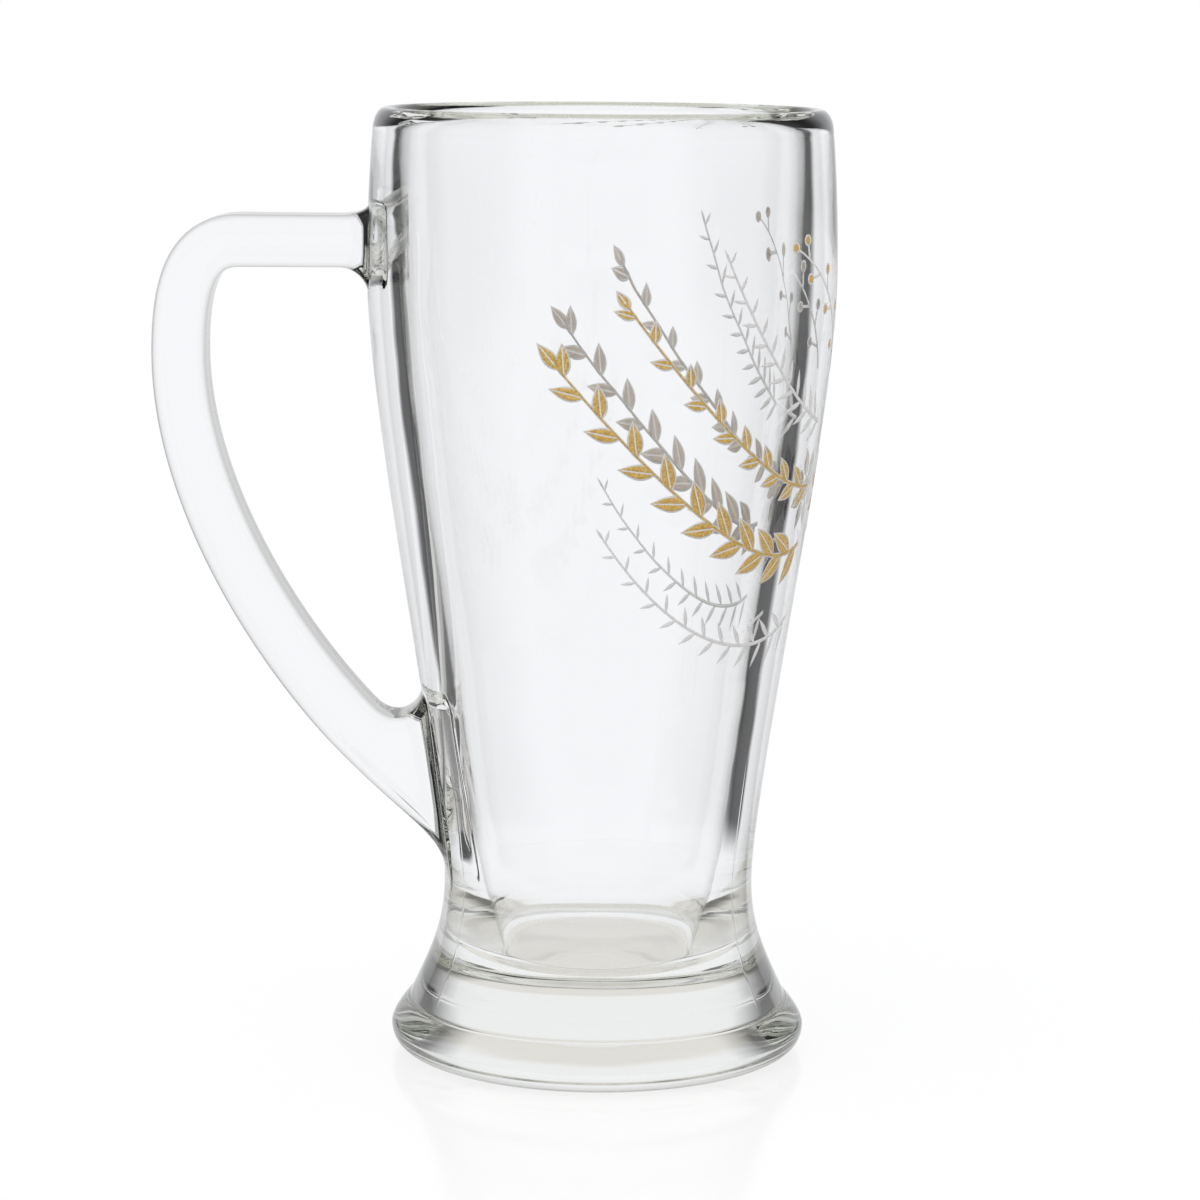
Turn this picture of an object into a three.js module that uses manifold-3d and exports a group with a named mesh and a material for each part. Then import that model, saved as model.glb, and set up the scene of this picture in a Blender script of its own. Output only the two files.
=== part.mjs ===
// Half-litre beer mug of clear glass: a waisted bowl on a flared foot, a stuck-on handle and a leaf print.
// Millimetres, +Z up. The origin is the middle of the flat underside, and the handle points along -X.
import * as THREE from "three";
import { mergeVertices } from "three/addons/utils/BufferGeometryUtils.js";
import Module from "manifold-3d";

const wasm = await Module();
wasm.setup();

// Heights, stacked from the table to the brim
const BEAD_RISE = 4.7; // table to the widest place of the bead, the thick ring along the foot's edge
const CREASE_RISE = 5.3; // that place to the crease over the bead
const FLARE_RISE = 23; // crease to the waist, the narrowest place
const BODY_RISE = 115.8; // waist to the belly, the widest place
const LIP_RISE = 27; // belly to the start of the rounded brim
const BRIM_RISE = 4.2; // height of the rounded brim

// Outer radii
const BASE_RADIUS = 32.8; // flat underside
const BEAD_RADIUS = 39.7;
const CREASE_RADIUS = 36.2;
const WAIST_RADIUS = 29.55;
const BELLY_RADIUS = 44.2;
const LIP_RADIUS = 43.1;

// How the outline bends: its leans from upright, and how far each place holds its direction
const CREASE_LEAN = THREE.MathUtils.degToRad(58); // top of the bead
const FLARE_LEAN = THREE.MathUtils.degToRad(24); // foot of the flare
const BASE_HOLD = 4.8;
const BEAD_HOLD_BELOW = 3.1;
const BEAD_HOLD_ABOVE = 1.3;
const CREASE_HOLD = 1.3;
const FLARE_HOLD = 8.2;
const WAIST_HOLD_BELOW = 10;
const WAIST_HOLD_ABOVE = 18.5;
const BELLY_HOLD_BELOW = 27;
const BELLY_HOLD_ABOVE = 10;
const LIP_HOLD = 8;
const LIP_LEAN = THREE.MathUtils.degToRad(5);

// The hollow
const WALL = 6.5; // side wall of the body, measured level
const BRIM_WIDTH = 5.2; // across the rounded brim
const BOWL_FLOOR = 3.9; // glass under the hollow, above the fused seam
const FLOOR_RADIUS = 16.4; // flat part of the hollow's floor
const FLOOR_CORNER = 4.4; // rounding between floor and wall
const THICK_WALL_RISE = 42; // waist to the height where the wall starts to thicken downwards
const THICK_WALL_HOLD = 26; // how far the hollow keeps the outer wall's slope below that height

// The fused seams
const FOOT_THICKNESS = 12.8; // table to the seam between foot and bowl
const FUSE_GAP = 0.3; // stands for the fused skin between two pieces of glass

// The handle, in the plane through the mug's axis
const ARM_DROP = 25; // top of the brim to the middle of the upper arm
const GRIP_REACH = 35.2; // belly to the middle of the grip
const KNUCKLE_RUN = 11.4; // level size of the bend between arm and grip
const KNUCKLE_FALL = 21.2; // upright size of that bend
const KNUCKLE_RUN_HOLD = 8.7;
const KNUCKLE_FALL_HOLD = 13;
const GRIP_HOLD = 28; // how far the grip runs straight down before it swings in
const ROOT_HOLD = 19; // how far the lower arm runs straight before its root
const ROOT_RISE = 30.3; // waist to the middle of the lower arm where its root starts
const ROOT_STANDOFF = 13.9; // wall to that place
const ROOT_DIP = THREE.MathUtils.degToRad(46.5); // slope of the lower arm
const ARM_THICKNESS = 9.7; // in the plane of the handle, at the upper arm
const ROOT_THICKNESS = 10.8; // the same, at the lower root
const HANDLE_WIDTH = 15; // across the handle
const HANDLE_CORNER = 2.8; // rounding of its long edges

// How far the handle's fillets run: on along the wall, and how far each edge holds its direction
const ARM_FILLET_ABOVE = 2.3;
const ARM_FILLET_BELOW = 5;
const ARM_FILLET_HOLD = 0.55; // share of the fillet
const ROOT_FILLET_ABOVE = 7.2; // up from the middle of the root's start, on the finger side
const ROOT_FILLET_ABOVE_HOLD = 7.6;
const ROOT_FILLET_ABOVE_WALL_HOLD = 2.6;
const ROOT_FILLET_BELOW = 32; // down from there, on the outer side
const ROOT_FILLET_BELOW_HOLD = 24;
const ROOT_FILLET_BELOW_WALL_HOLD = 11.5;
const ARM_FILLET_SIDE = 2.2; // widening at the wall, each side
const ROOT_FILLET_SIDE = 3;

// The print: fired enamel, laid out flat as (along the wall, height over the print's middle)
const PRINT_DROP = 31; // belly down to the middle of the print
const PRINT_GAP = 0.12; // print to wall
const PRINT_THICKNESS = 0.2; // stems and berries
const LEAF_SINK = 0.03; // leaves are this much thinner than stems on each face
const LEAF_FULLNESS = 0.8; // under 1 puts a leaf's widest place nearer its foot
const LEAF_BLUNTNESS = 0.14; // width of a leaf's two ends as a share of its widest place
const STEM_TAPER = 0.5; // share of a stem's width lost at its tip
const LAUREL_STEM = [[13, -18], [34, -24], [54, -6], [73, 18]];
const SPRIG_STEM = [[13, -7], [28, -7], [44, 4], [61, 29]];
const BRANCH_STEM_WIDTH = 1;
const LAUREL_LEAVES = 18;
const LAUREL_LEAF = { length: 8.6, width: 3.1, angle: 36, shrink: 0.35 };
const SPRIG_LEAVES = 15;
const SPRIG_LEAF = { length: 6, width: 2.3, angle: 38, shrink: 0.4 };
const UPPER_FERN_STEM = [[12, 5], [24, 8], [35, 18], [43, 37]];
const LOWER_FERN_STEM = [[13, -32], [32, -40], [51, -34], [65, -13]];
const FERN_STEM_WIDTH = 0.8;
const FERN_LEAVES = 22;
const FERN_LEAF = { length: 6.4, width: 1.3, angle: 52, shrink: 0.6 };
const BERRY_STEM = [[4, 14], [8, 24], [16, 33], [27, 38]];
const BERRY_STEM_WIDTH = 0.7;
const BERRY_TWIGS = 6;
const BERRY_TWIG = { length: 4.4, width: 0.6, angle: 48, shrink: 0.2 };
const BERRY_RADIUS = 1.1;
const BERRY_BLUNTNESS = 0.3; // width of a berry's two ends as a share of its widest place
const ROSETTE_HEIGHT = -9; // over the print's middle
const ROSETTE_BOSS = 2.5;
const ROSETTE_PETALS = 8;
const ROSETTE_PETAL = { length: 6.4, width: 3.3 };
const PETAL_SEAT = 0.75; // share of the boss's radius at which a petal starts

// Fineness of the faceted surfaces
const TURN_STEPS = 48;
const EDGE_STEPS = 6;
const BEAD_STEPS = 4;
const FLARE_STEPS = 7;
const BODY_STEPS = 11;
const LIP_STEPS = 3;
const BRIM_STEPS = 6;
const THICK_WALL_STEPS = 5;
const FLOOR_CORNER_STEPS = 4;
const KNUCKLE_STEPS = 8;
const GRIP_STEPS = 12;
const LEAF_STEPS = 3;
const FERN_LEAF_STEPS = 2;
const STEM_STEPS = 16;
const TWIG_STEPS = 2;
const BERRY_STEPS = 4;
const CORNER_STEPS = 3;
const FILLET_STEPS = 7;
const MERGE_DISTANCE = 1e-4; // points closer than this are one point

const creaseHeight = BEAD_RISE + CREASE_RISE;
const waistHeight = creaseHeight + FLARE_RISE;
const bellyHeight = waistHeight + BODY_RISE;
const lipHeight = bellyHeight + LIP_RISE;
const brimHeight = lipHeight + BRIM_RISE;
const hollowFloor = FOOT_THICKNESS + FUSE_GAP + BOWL_FLOOR;
const printMiddle = bellyHeight - PRINT_DROP;

const flat = (x, y) => new THREE.Vector2(x, y);

// Points along a cubic curve that leaves `from` along `start` and reaches `to` along `end`, less the first.
function bend(from, start, end, to, steps) {
  const curve = new THREE.CubicBezierCurve(from, from.clone().add(start), to.clone().sub(end), to);
  return curve.getPoints(steps).slice(1);
}

// Outer outline as (radius, height), from the underside's edge to the start of the brim.
function outerOutline() {
  const base = flat(BASE_RADIUS, 0);
  const bead = flat(BEAD_RADIUS, BEAD_RISE);
  const crease = flat(CREASE_RADIUS, creaseHeight);
  const waist = flat(WAIST_RADIUS, waistHeight);
  const belly = flat(BELLY_RADIUS, bellyHeight);
  const lip = flat(LIP_RADIUS, lipHeight);
  const lean = (angle, hold) => flat(-hold * Math.sin(angle), hold * Math.cos(angle));
  return [
    base,
    ...bend(base, flat(BASE_HOLD, 0), flat(0, BEAD_HOLD_BELOW), bead, EDGE_STEPS),
    ...bend(bead, flat(0, BEAD_HOLD_ABOVE), lean(CREASE_LEAN, CREASE_HOLD), crease, BEAD_STEPS),
    ...bend(crease, lean(FLARE_LEAN, FLARE_HOLD), flat(0, WAIST_HOLD_BELOW), waist, FLARE_STEPS),
    ...bend(waist, flat(0, WAIST_HOLD_ABOVE), flat(0, BELLY_HOLD_BELOW), belly, BODY_STEPS),
    ...bend(belly, flat(0, BELLY_HOLD_ABOVE), lean(LIP_LEAN, LIP_HOLD), lip, LIP_STEPS),
  ];
}

const outline = outerOutline();

// Outer radius of the glass at a height.
function wallRadius(height) {
  const above = outline.findIndex((point, i) => i > 0 && point.y >= height);
  const upper = above < 0 ? outline.length - 1 : above;
  const [a, b] = [outline[upper - 1], outline[upper]];
  return THREE.MathUtils.mapLinear(height, a.y, b.y, a.x, b.x);
}

// Thickness of the wall at a height: even over the body, and thinning to the brim's width above the belly.
function wallThickness(height) {
  const share = THREE.MathUtils.smoothstep(height, bellyHeight, lipHeight);
  return THREE.MathUtils.lerp(WALL, BRIM_WIDTH, share);
}

// The hollow's outline, from the brim down to the middle of its floor.
function hollowOutline() {
  const thickWallHeight = waistHeight + THICK_WALL_RISE;
  const upper = outline.filter((point) => point.y > thickWallHeight).reverse();
  const wall = upper.map((point) => flat(point.x - wallThickness(point.y), point.y));
  const start = flat(wallRadius(thickWallHeight) - WALL, thickWallHeight);
  const slope = flat(wallRadius(thickWallHeight) - wallRadius(waistHeight), THICK_WALL_RISE);
  const control = start.clone().addScaledVector(slope.normalize(), -THICK_WALL_HOLD);
  const corner = flat(FLOOR_RADIUS + FLOOR_CORNER, hollowFloor + FLOOR_CORNER);
  const thick = new THREE.QuadraticBezierCurve(start, control, corner).getPoints(THICK_WALL_STEPS);
  const round = new THREE.EllipseCurve(
    FLOOR_RADIUS, hollowFloor + FLOOR_CORNER, FLOOR_CORNER, FLOOR_CORNER, 0, -Math.PI / 2, true,
  ).getPoints(FLOOR_CORNER_STEPS).slice(1);
  return [...wall, ...thick, ...round, flat(0, hollowFloor)];
}

// The rounded brim between the outer and the inner wall, without its two ends.
function brimOutline() {
  const half = BRIM_WIDTH / 2;
  const arc = new THREE.EllipseCurve(LIP_RADIUS - half, lipHeight, half, BRIM_RISE, 0, Math.PI, false);
  return arc.getPoints(BRIM_STEPS).slice(1, -1);
}

// A body turned about the mug's axis from a (radius, height) outline that starts and ends on the axis.
function turned(points) {
  return new THREE.LatheGeometry(points, TURN_STEPS).rotateX(Math.PI / 2);
}

function solid(geometry) {
  const bare = geometry.clone();
  bare.deleteAttribute("normal");
  bare.deleteAttribute("uv");
  const merged = mergeVertices(bare, MERGE_DISTANCE);
  return new wasm.Manifold(new wasm.Mesh({
    numProp: 3,
    vertProperties: merged.attributes.position.array,
    triVerts: new Uint32Array(merged.index.array),
  }));
}

function geometryOf(body) {
  const mesh = body.getMesh();
  const geometry = new THREE.BufferGeometry();
  geometry.setAttribute("position", new THREE.BufferAttribute(mesh.vertProperties, 3));
  geometry.setIndex(new THREE.BufferAttribute(mesh.triVerts, 1));
  geometry.computeVertexNormals();
  return geometry;
}

// A closed skin over rings of points, each ring running the same way round, with both ends capped flat.
function skin(rings) {
  const count = rings[0].length;
  const positions = rings.flat().flatMap((point) => point.toArray());
  const triangles = [];
  for (let ring = 0; ring + 1 < rings.length; ring += 1) {
    for (let i = 0; i < count; i += 1) {
      const a = ring * count + i;
      const b = ring * count + ((i + 1) % count);
      triangles.push(a, b, a + count, b, b + count, a + count);
    }
  }
  const last = (rings.length - 1) * count;
  for (let i = 1; i + 1 < count; i += 1) {
    triangles.push(0, i + 1, i);
    triangles.push(last, last + i, last + i + 1);
  }
  const geometry = new THREE.BufferGeometry();
  geometry.setAttribute("position", new THREE.Float32BufferAttribute(positions, 3));
  geometry.setIndex(triangles);
  return geometry;
}

function bowl() {
  const seam = FOOT_THICKNESS + FUSE_GAP;
  const outside = outline.filter((point) => point.y > seam);
  return turned([
    flat(0, seam),
    flat(wallRadius(seam), seam),
    ...outside,
    ...brimOutline(),
    ...hollowOutline(),
  ]);
}

function foot() {
  const outside = outline.filter((point) => point.y < FOOT_THICKNESS);
  return turned([
    flat(0, 0),
    ...outside,
    flat(wallRadius(FOOT_THICKNESS), FOOT_THICKNESS),
    flat(0, FOOT_THICKNESS),
  ]);
}

// Middle line of the handle as (distance from the axis, height), between the starts of its two roots.
function handleLine() {
  const armHeight = brimHeight - ARM_DROP;
  const gripDistance = BELLY_RADIUS + GRIP_REACH;
  const armRun = Math.max(ARM_FILLET_ABOVE, ARM_FILLET_BELOW);
  const arm = flat(wallRadius(armHeight) + armRun, armHeight);
  const knuckle = flat(gripDistance - KNUCKLE_RUN, armHeight);
  const grip = flat(gripDistance, armHeight - KNUCKLE_FALL);
  const rootHeight = waistHeight + ROOT_RISE;
  const root = flat(wallRadius(rootHeight) + ROOT_STANDOFF, rootHeight);
  const dip = flat(-ROOT_HOLD * Math.cos(ROOT_DIP), -ROOT_HOLD * Math.sin(ROOT_DIP));
  return [
    arm,
    knuckle,
    ...bend(knuckle, flat(KNUCKLE_RUN_HOLD, 0), flat(0, -KNUCKLE_FALL_HOLD), grip, KNUCKLE_STEPS),
    ...bend(grip, flat(0, -GRIP_HOLD), dip, root, GRIP_STEPS),
  ];
}

// One edge of a root: it leaves the arm along `armHold` and runs out along the wall, up or down, at `height`.
function rootEdge(from, armHold, height, wallHold) {
  const end = flat(wallRadius(height), height);
  const slope = flat(wallRadius(height + WALL) - wallRadius(height - WALL), 2 * WALL).normalize();
  return bend(from, armHold, slope.multiplyScalar(wallHold), end, FILLET_STEPS);
}

// A ring of the handle: a rounded rectangle between its outer and inner edge, widened by `side` on each side.
// Near the wall the ring bends round the wall, with `wrap` from 0 to 1.
function handleSection({ outer, inner, side, wrap }) {
  const middle = outer.clone().add(inner).multiplyScalar(0.5);
  const across = outer.clone().sub(inner).normalize();
  const halfThickness = outer.distanceTo(inner) / 2;
  const halfWidth = HANDLE_WIDTH / 2 + side;
  const corner = Math.min(HANDLE_CORNER, halfWidth, halfThickness);
  const points = [];
  const corners = [[1, 1, 0], [-1, 1, 1], [-1, -1, 2], [1, -1, 3]];
  for (const [alongSign, sideSign, quarter] of corners) {
    for (let k = 0; k <= CORNER_STEPS; k += 1) {
      const turn = (quarter + k / CORNER_STEPS) * Math.PI / 2;
      const along = alongSign * (halfThickness - corner) + corner * Math.cos(turn);
      const level = sideSign * (halfWidth - corner) + corner * Math.sin(turn);
      const height = middle.y + across.y * along;
      const radius = wallRadius(height);
      const recess = radius - Math.sqrt(radius * radius - level * level);
      const distance = middle.x + across.x * along - wrap * recess;
      points.push(new THREE.Vector3(-distance, level, height));
    }
  }
  return points;
}

// The sections of a root from its two edges, with a last one inside the wall.
function rootSections(outerEdge, innerEdge, side) {
  const sections = outerEdge.map((outer, k) => {
    const share = (k + 1) / FILLET_STEPS;
    const growth = side * (1 - Math.sqrt(1 - share * share));
    return { outer, inner: innerEdge[k], side: growth, wrap: share };
  });
  const sunk = flat(-WALL / 2, 0);
  const wallSection = sections[sections.length - 1];
  const inside = {
    ...wallSection,
    outer: wallSection.outer.clone().add(sunk),
    inner: wallSection.inner.clone().add(sunk),
  };
  return [...sections, inside];
}

function handle() {
  const line = handleLine();
  const last = line.length - 1;
  const sweep = line.map((middle, i) => {
    const forward = line[Math.min(i + 1, last)].clone().sub(line[Math.max(i - 1, 0)]).normalize();
    const square = flat(-forward.y, forward.x);
    const half = THREE.MathUtils.lerp(ARM_THICKNESS, ROOT_THICKNESS, i / last) / 2;
    return {
      outer: middle.clone().addScaledVector(square, half),
      inner: middle.clone().addScaledVector(square, -half),
      side: 0,
      wrap: 0,
    };
  });

  const arm = sweep[0];
  const above = ARM_FILLET_HOLD * ARM_FILLET_ABOVE;
  const below = ARM_FILLET_HOLD * ARM_FILLET_BELOW;
  const armSections = rootSections(
    rootEdge(arm.outer, flat(-below, 0), arm.outer.y + ARM_FILLET_ABOVE, above),
    rootEdge(arm.inner, flat(-below, 0), arm.inner.y - ARM_FILLET_BELOW, -below),
    ARM_FILLET_SIDE,
  );

  const root = sweep[last];
  const rootHeight = line[last].y;
  const dip = line[last].clone().sub(line[last - 1]).normalize();
  const lowerSections = rootSections(
    rootEdge(
      root.outer, dip.clone().multiplyScalar(ROOT_FILLET_BELOW_HOLD),
      rootHeight - ROOT_FILLET_BELOW, -ROOT_FILLET_BELOW_WALL_HOLD,
    ),
    rootEdge(
      root.inner, dip.clone().multiplyScalar(ROOT_FILLET_ABOVE_HOLD),
      rootHeight + ROOT_FILLET_ABOVE, ROOT_FILLET_ABOVE_WALL_HOLD,
    ),
    ROOT_FILLET_SIDE,
  );

  const rings = [...armSections.reverse(), ...sweep, ...lowerSections].map(handleSection);
  const grown = outline.map((point) => flat(point.x + FUSE_GAP, point.y));
  const glass = turned([flat(0, 0), ...grown, flat(0, lipHeight)]);
  return geometryOf(solid(skin(rings)).subtract(solid(glass)));
}

// A point of the print wrapped on the wall, with `side` 1 for the front half and -1 for the back half.
function onWall(point, side, lift) {
  const angle = side * point.x / wallRadius(printMiddle);
  const height = printMiddle + point.y;
  const radius = wallRadius(height) + lift;
  return new THREE.Vector3(radius * Math.cos(angle), -radius * Math.sin(angle), height);
}

// A thin closed strip of enamel along a flat curve. Its half width at a share t of the curve is halfWidth(t).
function strip(curve, halfWidth, steps, side, sink) {
  const rings = [];
  for (let k = 0; k <= steps; k += 1) {
    const t = k / steps;
    const middle = curve.getPoint(t);
    const forward = curve.getTangent(t);
    const across = flat(-forward.y, forward.x).multiplyScalar(side * halfWidth(t));
    const left = middle.clone().add(across);
    const right = middle.clone().sub(across);
    const low = PRINT_GAP + sink;
    const high = PRINT_GAP + PRINT_THICKNESS - sink;
    rings.push([
      onWall(left, side, low),
      onWall(right, side, low),
      onWall(right, side, high),
      onWall(left, side, high),
    ]);
  }
  return solid(skin(rings));
}

const turnedBy = (direction, degrees) =>
  direction.clone().rotateAround(flat(0, 0), THREE.MathUtils.degToRad(degrees));

// A leaf from `start` along `direction`: narrow at its foot, widest before the middle, pointed at the tip.
function leaf(start, direction, length, width, steps, side) {
  const curve = new THREE.LineCurve(start, start.clone().addScaledVector(direction, length));
  const halfWidth = (t) => (width / 2) * Math.max(Math.sin(Math.PI * t ** LEAF_FULLNESS), LEAF_BLUNTNESS);
  return strip(curve, halfWidth, steps, side, LEAF_SINK);
}

const stemOf = (points) => new THREE.CubicBezierCurve(...points.map((point) => flat(...point)));

// A stem that tapers to its tip.
function stem(curve, width, side) {
  return strip(curve, (t) => (width / 2) * (1 - STEM_TAPER * t), STEM_STEPS, side, 0);
}

// A stem with leaves on alternate sides and one at its tip.
function branch(points, width, count, form, steps, side) {
  const curve = stemOf(points);
  let body = stem(curve, width, side);
  for (let k = 0; k < count; k += 1) {
    const t = (k + 0.5) / count;
    const size = 1 - form.shrink * t;
    const direction = turnedBy(curve.getTangent(t), k % 2 ? form.angle : -form.angle);
    body = body.add(leaf(curve.getPoint(t), direction, form.length * size, form.width * size, steps, side));
  }
  const size = 1 - form.shrink;
  const tip = curve.getPoint(1).addScaledVector(curve.getTangent(1), -width);
  body = body.add(leaf(tip, curve.getTangent(1), form.length * size, form.width * size, steps, side));
  return geometryOf(body);
}

// A round dot of enamel.
function berry(centre, radius, side) {
  const across = flat(radius, 0);
  const curve = new THREE.LineCurve(centre.clone().sub(across), centre.clone().add(across));
  const halfWidth = (t) => radius * Math.max(2 * Math.sqrt(t * (1 - t)), BERRY_BLUNTNESS);
  return strip(curve, halfWidth, BERRY_STEPS, side, -LEAF_SINK);
}

// A fine stem with a berry on each of its twigs and one at its tip.
function berrySprig(side) {
  const curve = stemOf(BERRY_STEM);
  let body = stem(curve, BERRY_STEM_WIDTH, side).add(berry(curve.getPoint(1), BERRY_RADIUS, side));
  for (let k = 0; k < BERRY_TWIGS; k += 1) {
    const t = (k + 1) / (BERRY_TWIGS + 1);
    const hand = k % 2 ? 1 : -1;
    const direction = turnedBy(curve.getTangent(t), hand * BERRY_TWIG.angle);
    const end = curve.getPoint(t).addScaledVector(direction, BERRY_TWIG.length * (1 - BERRY_TWIG.shrink * t));
    const twig = new THREE.LineCurve(curve.getPoint(t), end);
    body = body.add(strip(twig, () => BERRY_TWIG.width / 2, TWIG_STEPS, side, LEAF_SINK));
    body = body.add(berry(end, BERRY_RADIUS, side));
  }
  return geometryOf(body);
}

// A ring of petals round a small boss, opposite the handle.
function rosette() {
  const centre = flat(0, ROSETTE_HEIGHT);
  let body = berry(centre, ROSETTE_BOSS, 1);
  for (let k = 0; k < ROSETTE_PETALS; k += 1) {
    const direction = turnedBy(flat(0, 1), (k + 0.5) * 360 / ROSETTE_PETALS);
    const start = centre.clone().addScaledVector(direction, ROSETTE_BOSS * PETAL_SEAT);
    body = body.add(leaf(start, direction, ROSETTE_PETAL.length, ROSETTE_PETAL.width, LEAF_STEPS, 1));
  }
  return geometryOf(body);
}

const glassMaterial = new THREE.MeshStandardMaterial({
  color: 0xe8eeea, roughness: 0.04, metalness: 0, transparent: true, opacity: 0.35,
});
const goldMaterial = new THREE.MeshStandardMaterial({ color: 0xc08f3a, roughness: 0.4, metalness: 0.7 });
const whiteMaterial = new THREE.MeshStandardMaterial({ color: 0xeeece6, roughness: 0.5, metalness: 0 });

const mug = new THREE.Group();
mug.name = "beer_mug";

function add(name, geometry, material) {
  const mesh = new THREE.Mesh(geometry, material);
  mesh.name = name;
  mug.add(mesh);
}

add("bowl", bowl(), glassMaterial);
add("foot", foot(), glassMaterial);
add("handle", handle(), glassMaterial);
add("gold_rosette", rosette(), goldMaterial);
for (const [half, side] of [["front", 1], ["back", -1]]) {
  const leafy = (points, count, form) => branch(points, BRANCH_STEM_WIDTH, count, form, LEAF_STEPS, side);
  const ferny = (points) => branch(points, FERN_STEM_WIDTH, FERN_LEAVES, FERN_LEAF, FERN_LEAF_STEPS, side);
  add(`gold_laurel_${half}`, leafy(LAUREL_STEM, LAUREL_LEAVES, LAUREL_LEAF), goldMaterial);
  add(`gold_sprig_${half}`, leafy(SPRIG_STEM, SPRIG_LEAVES, SPRIG_LEAF), goldMaterial);
  add(`gold_berries_${half}`, berrySprig(side), goldMaterial);
  add(`white_fern_upper_${half}`, ferny(UPPER_FERN_STEM), whiteMaterial);
  add(`white_fern_lower_${half}`, ferny(LOWER_FERN_STEM), whiteMaterial);
}

export default mug;
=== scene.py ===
"""Half-litre beer mug: one clear glass body for the bowl, foot and handle, and an enamel leaf print."""

import math

import bmesh
import bpy
import numpy as np
from mathutils import Matrix, Vector


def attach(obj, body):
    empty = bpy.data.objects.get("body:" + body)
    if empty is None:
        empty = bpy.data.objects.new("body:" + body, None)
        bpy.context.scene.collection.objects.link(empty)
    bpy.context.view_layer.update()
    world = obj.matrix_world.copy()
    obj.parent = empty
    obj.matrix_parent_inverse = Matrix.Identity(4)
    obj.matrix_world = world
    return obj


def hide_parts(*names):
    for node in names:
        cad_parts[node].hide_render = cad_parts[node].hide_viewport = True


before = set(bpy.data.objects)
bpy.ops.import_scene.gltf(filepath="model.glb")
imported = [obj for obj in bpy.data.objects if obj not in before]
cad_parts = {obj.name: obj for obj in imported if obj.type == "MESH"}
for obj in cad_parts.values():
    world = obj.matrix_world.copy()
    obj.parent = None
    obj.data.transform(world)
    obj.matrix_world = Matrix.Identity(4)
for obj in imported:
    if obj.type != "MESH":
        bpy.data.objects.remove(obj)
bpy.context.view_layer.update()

# Sizes are in millimetres, as in the part's source, and a mesh is scaled to metres when it is made.
MM = 0.001

# Heights, stacked from the table to the brim
BEAD_RISE = 4.7
CREASE_RISE = 5.3
FLARE_RISE = 23
BODY_RISE = 115.8
LIP_RISE = 27
BRIM_RISE = 4.2

# Outer radii
BASE_RADIUS = 32.8
BEAD_RADIUS = 39.7
CREASE_RADIUS = 36.2
WAIST_RADIUS = 29.55
BELLY_RADIUS = 44.2
LIP_RADIUS = 43.1

# How the outline bends
CREASE_LEAN = math.radians(58)
FLARE_LEAN = math.radians(24)
BASE_HOLD = 4.8
BEAD_HOLD_BELOW = 3.1
BEAD_HOLD_ABOVE = 1.3
CREASE_HOLD = 1.3
CREASE_ROUND = 0.5  # reach of the fillet in the crease, each way
FLARE_HOLD = 8.2
WAIST_HOLD_BELOW = 10
WAIST_HOLD_ABOVE = 18.5
BELLY_HOLD_BELOW = 27
BELLY_HOLD_ABOVE = 10
LIP_HOLD = 8
LIP_LEAN = math.radians(5)

# The hollow
WALL = 6.5
BRIM_WIDTH = 5.2
HOLLOW_FLOOR = 17
FLOOR_RADIUS = 16.4
FLOOR_CORNER = 4.4
THICK_WALL_RISE = 42
THICK_WALL_HOLD = 26

# The handle
ARM_DROP = 25
GRIP_REACH = 35.2
KNUCKLE_RUN = 11.4
KNUCKLE_FALL = 21.2
KNUCKLE_RUN_HOLD = 8.7
KNUCKLE_FALL_HOLD = 13
GRIP_HOLD = 28
ROOT_HOLD = 19
ROOT_RISE = 30.3
ROOT_STANDOFF = 13.9
ROOT_DIP = math.radians(46.5)
ARM_THICKNESS = 9.7
ROOT_THICKNESS = 10.8
HANDLE_WIDTH = 15
HANDLE_CORNER = 2.8
ARM_FILLET_ABOVE = 2.3
ARM_FILLET_BELOW = 5
ARM_FILLET_HOLD = 0.55
ROOT_FILLET_ABOVE = 7.2
ROOT_FILLET_ABOVE_HOLD = 7.6
ROOT_FILLET_ABOVE_WALL_HOLD = 2.6
ROOT_FILLET_BELOW = 32
ROOT_FILLET_BELOW_HOLD = 24
ROOT_FILLET_BELOW_WALL_HOLD = 11.5
ARM_FILLET_SIDE = 2.2
ROOT_FILLET_SIDE = 3
FILLET_SINK = 0.12  # the fillets end this far under the wall's skin, so that the surfaces cross cleanly

# The mould's seams: low ridges on the lower wall, polished away higher up
SEAM_ANGLES = [-31, -149, 90]  # degrees from +X
SEAM_HEIGHT = 0.04
SEAM_HALF_WIDTH = 0.45  # degrees
SEAM_START = 11
SEAM_FROM = 14
SEAM_FADE_FROM = 44
SEAM_TO = 60

# The print, laid out flat as (along the wall, height over its middle)
PRINT_DROP = 31
LAUREL_STEM = [(13, -18), (34, -24), (54, -6), (73, 18)]
LAUREL_LEAVES = 18
LAUREL_LEAF = {"length": 8.6, "width": 3.1, "angle": 36, "shrink": 0.35}
SPRIG_STEM = [(13, -7), (28, -7), (44, 4), (61, 29)]
SPRIG_LEAVES = 15
SPRIG_LEAF = {"length": 6, "width": 2.3, "angle": 38, "shrink": 0.4}
BRANCH_STEM_WIDTH = 1
UPPER_FERN_STEM = [(12, 5), (24, 8), (35, 18), (43, 37)]
LOWER_FERN_STEM = [(13, -32), (32, -40), (51, -34), (65, -13)]
FERN_STEM_WIDTH = 0.8
FERN_LEAVES = 22
FERN_LEAF = {"length": 6.4, "width": 1.3, "angle": 52, "shrink": 0.6}
BERRY_STEM = [(4, 14), (8, 24), (16, 33), (27, 38)]
BERRY_STEM_WIDTH = 0.7
BERRY_TWIGS = 6
BERRY_TWIG = {"length": 4.4, "width": 0.6, "angle": 48, "shrink": 0.2}
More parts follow.
